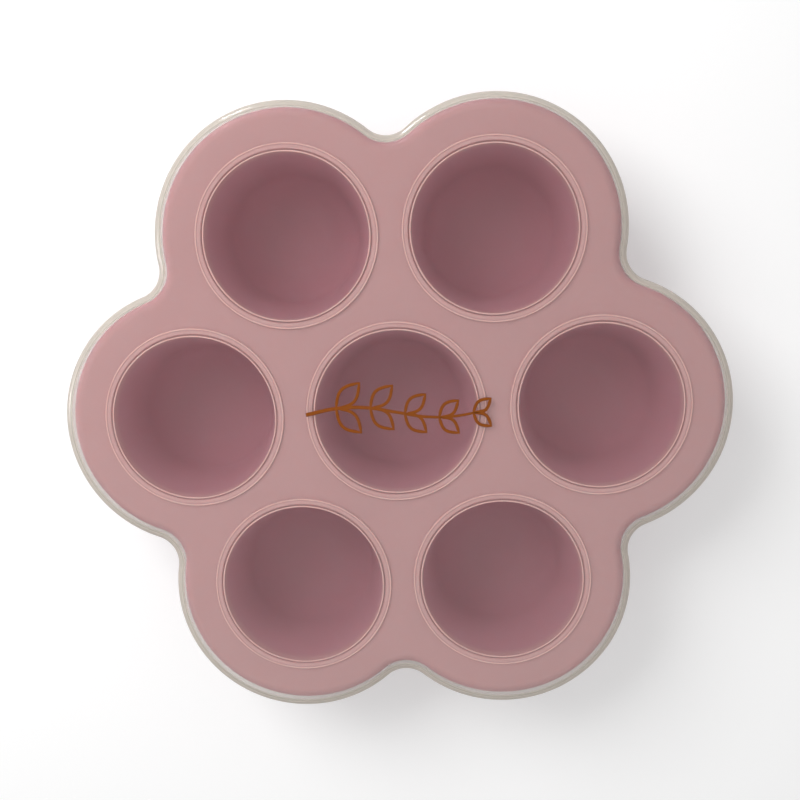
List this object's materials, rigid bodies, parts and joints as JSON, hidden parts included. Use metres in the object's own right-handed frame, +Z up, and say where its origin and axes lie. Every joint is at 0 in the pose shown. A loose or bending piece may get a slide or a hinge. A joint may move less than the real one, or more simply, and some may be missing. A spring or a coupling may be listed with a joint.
{
  "type": "baby food freezer tray",
  "caption": "Flower-shaped silicone freezer tray with round tapered cups for baby food portions, closed by a clip-on translucent plastic lid that lifts off.",
  "frame": {"origin": "centre of the flat underside of the centre cup, on the surface that the tray stands on", "axes": "+Z up, out of the cups' mouths; +X from the centre cup to one petal cup, along the longest width"},
  "size_m": [0.2068, 0.1898, 0.0379],
  "materials": {
    "silicone": "matt dusty-pink moulded silicone",
    "lid_plastic": "translucent glossy moulded polypropylene"
  },
  "bodies": {
    "tray": {"tray_deck": "silicone", "cup_centre": "silicone", "cup_right": "silicone", "cup_back_right": "silicone", "cup_back_left": "silicone", "cup_left": "silicone", "cup_front_left": "silicone", "cup_front_right": "silicone"},
    "lid": {"lid": "lid_plastic"}
  },
  "joints": [
    {"name": "lid_lift", "type": "slide", "parent": "tray", "child": "lid", "axis": [0, 0, 1], "range_m": [0, 0.06]}
  ]
}
